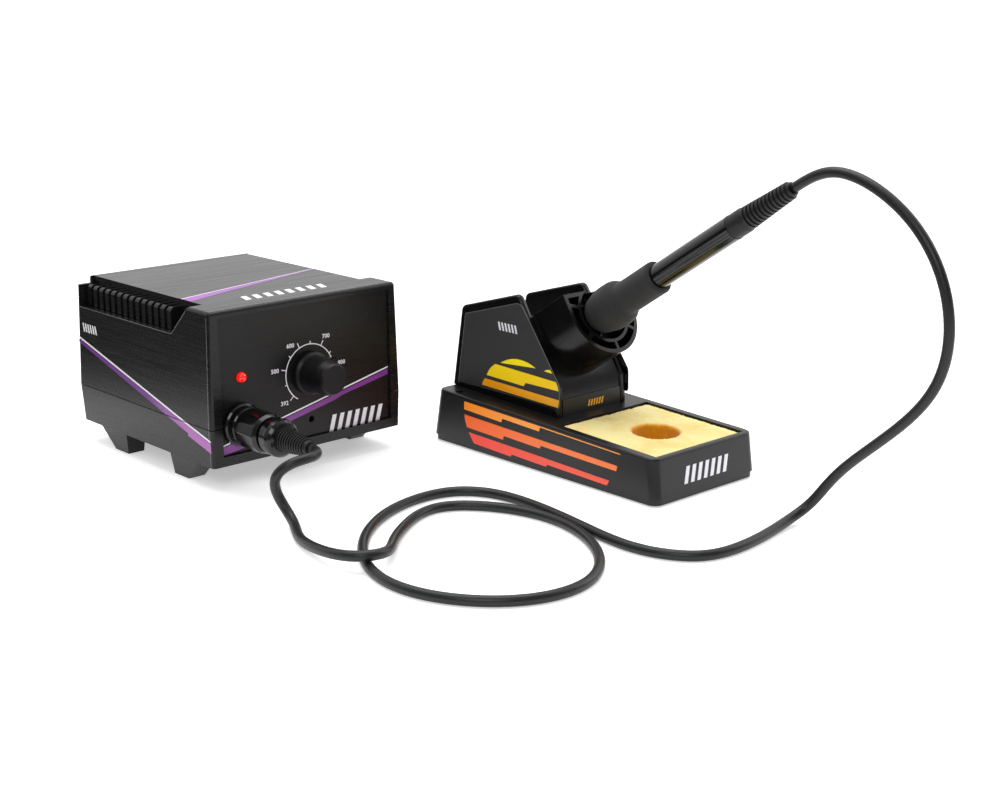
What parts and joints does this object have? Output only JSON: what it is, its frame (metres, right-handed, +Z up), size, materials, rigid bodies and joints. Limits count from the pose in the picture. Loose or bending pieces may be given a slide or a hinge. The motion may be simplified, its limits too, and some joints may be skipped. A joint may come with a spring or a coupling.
{
  "type": "soldering iron station",
  "caption": "Bench soldering station: a black control unit with a temperature knob, joined by a looped cord to an iron that rests in a stand with a sponge.",
  "frame": {"origin": "on the bench, under the middle of the box that holds the station, the stand and the iron", "axes": "+Z up from the bench, -Y out of the station's front panel and along the stand towards the sponge, +X to the right from the station to the stand"},
  "size_m": [0.2398, 0.4284, 0.168],
  "materials": {
    "case_black": "glossy moulded plastic with a fine brushed grain",
    "panel_plate": "black painted plate",
    "panel_film": "printed film, fine brushed grain",
    "knob_black": "satin black moulding",
    "socket_black": "glossy black moulding",
    "soft_black": "dull flexible plastic",
    "steel": "plain plated steel",
    "lamp_red": "clear red lens",
    "component_blue": "component cases",
    "white_plastic": "white ceramic or plastic",
    "contact_brass": "gold-plated contacts",
    "contact_nickel": "nickel-plated blades",
    "core_iron": "varnished laminations",
    "coil_tape": "winding tape",
    "board_green": "circuit board",
    "stand_black": "satin black moulding with printed bands",
    "stand_plate": "dull black plate",
    "holder_black": "satin black moulding",
    "sponge_yellow": "coarse cellulose sponge",
    "tip_metal": "plated copper tip",
    "grip_rubber": "soft matt sleeve",
    "tube_black": "high gloss tube",
    "cord_black": "smooth flexible jacket"
  },
  "bodies": {
    "station": {"top_cover": "case_black", "bottom_shell": "case_black", "front_panel": "panel_plate", "panel_overlay": "panel_film", "pot_body": "steel", "pot_nut": "steel", "indicator_lens": "lamp_red", "indicator_holder": "soft_black", "trimmer_body": "component_blue", "socket": "socket_black", "socket_nut": "steel", "plug_shell": "socket_black", "plug_pins": "contact_brass", "plug_ring": "knob_black", "plug_relief": "soft_black", "transformer_core": "core_iron", "transformer_coil": "coil_tape", "transformer_strap": "steel", "control_board": "board_green", "board_parts": "component_blue", "rear_panel": "panel_plate", "mains_inlet": "socket_black", "inlet_pins": "contact_nickel", "fuse_holder": "socket_black", "rocker_frame": "socket_black", "case_screws": "steel", "stand_base": "stand_black", "stand_plate": "stand_plate", "stand_feet": "soft_black", "stand_screws": "steel", "holder_core": "holder_black", "left_cheek": "stand_black", "right_cheek": "stand_black", "holder_liner": "steel", "cord": "cord_black"},
    "knob": {"temperature_knob": "knob_black", "pot_shaft": "steel"},
    "trimmer": {"trimmer_rotor": "white_plastic"},
    "coupling": {"coupling_nut": "socket_black"},
    "fuse": {"fuse_cap": "knob_black"},
    "switch": {"rocker": "knob_black"},
    "sponge_pad": {"sponge": "sponge_yellow"},
    "iron": {"tip": "tip_metal", "tip_sleeve": "steel", "sleeve_nut": "steel", "heater": "white_plastic", "grip": "grip_rubber", "handle_tube": "tube_black", "end_collar": "holder_black", "iron_relief": "soft_black", "handle_board": "board_green"}
  },
  "joints": [
    {"name": "knob_turn", "type": "hinge", "parent": "station", "child": "knob", "pos_m": [-0.04755, 0.042, 0.051], "axis": [0, -1, 0], "range_deg": [-74, 196]},
    {"name": "trimmer_turn", "type": "hinge", "parent": "station", "child": "trimmer", "pos_m": [-0.04725, 0.042, 0.026], "axis": [0, -1, 0], "range_deg": [-135, 135]},
    {"name": "coupling_turn", "type": "hinge", "parent": "station", "child": "coupling", "pos_m": [-0.09125, 0.042, 0.032], "axis": [0, -1, 0], "range_deg": [-180, 180]},
    {"name": "fuse_cap_turn", "type": "hinge", "parent": "station", "child": "fuse", "pos_m": [-0.05725, 0.1659, 0.034], "axis": [0, 1, 0], "range_deg": [0, 60]},
    {"name": "rocker_tilt", "type": "hinge", "parent": "station", "child": "switch", "pos_m": [-0.07725, 0.1619, 0.038], "axis": [1, 0, 0], "range_deg": [0, 16]},
    {"name": "sponge_lift", "type": "slide", "parent": "station", "child": "sponge_pad", "axis": [0, 0, 1], "range_m": [0, 0.026]},
    {"name": "iron_lift", "type": "slide", "parent": "station", "child": "iron", "axis": [0, -0.8387, 0.5446], "range_m": [0, 0.07], "deforming": ["cord"]}
  ]
}
